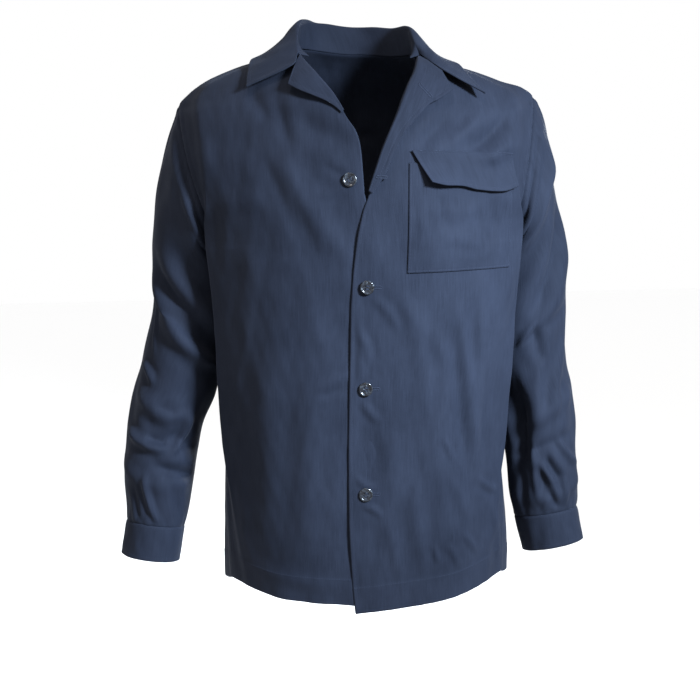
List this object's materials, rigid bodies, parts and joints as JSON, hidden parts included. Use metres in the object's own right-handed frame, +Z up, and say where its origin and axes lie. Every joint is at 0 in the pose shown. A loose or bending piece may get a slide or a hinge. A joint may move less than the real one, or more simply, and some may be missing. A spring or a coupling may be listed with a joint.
{
  "type": "overshirt",
  "caption": "Hollow long-sleeved overshirt in its worn shape, with an open notched collar, a flapped chest pocket, a buttoned front and plain cuffs",
  "frame": {"origin": "midway between the points where the shoulder seams meet the neck, which the wearer's shoulders hold up", "axes": "+Z up, the wearer faces -Y and the wearer's left is +X"},
  "size_m": [0.6621, 0.2707, 0.7937],
  "materials": {
    "cloth": "matte woven navy",
    "button": "polished dark horn"
  },
  "bodies": {
    "root": {"front_left": "cloth", "front_right": "cloth", "back": "cloth", "sleeve_left": "cloth", "sleeve_right": "cloth", "cuff_left": "cloth", "cuff_right": "cloth", "collar": "cloth", "lapel_left": "cloth", "lapel_right": "cloth", "pocket": "cloth", "pocket_flap": "cloth", "button_top": "button", "button_chest": "button", "button_waist": "button", "button_low": "button", "button_lapel": "button"}
  },
  "joints": []
}
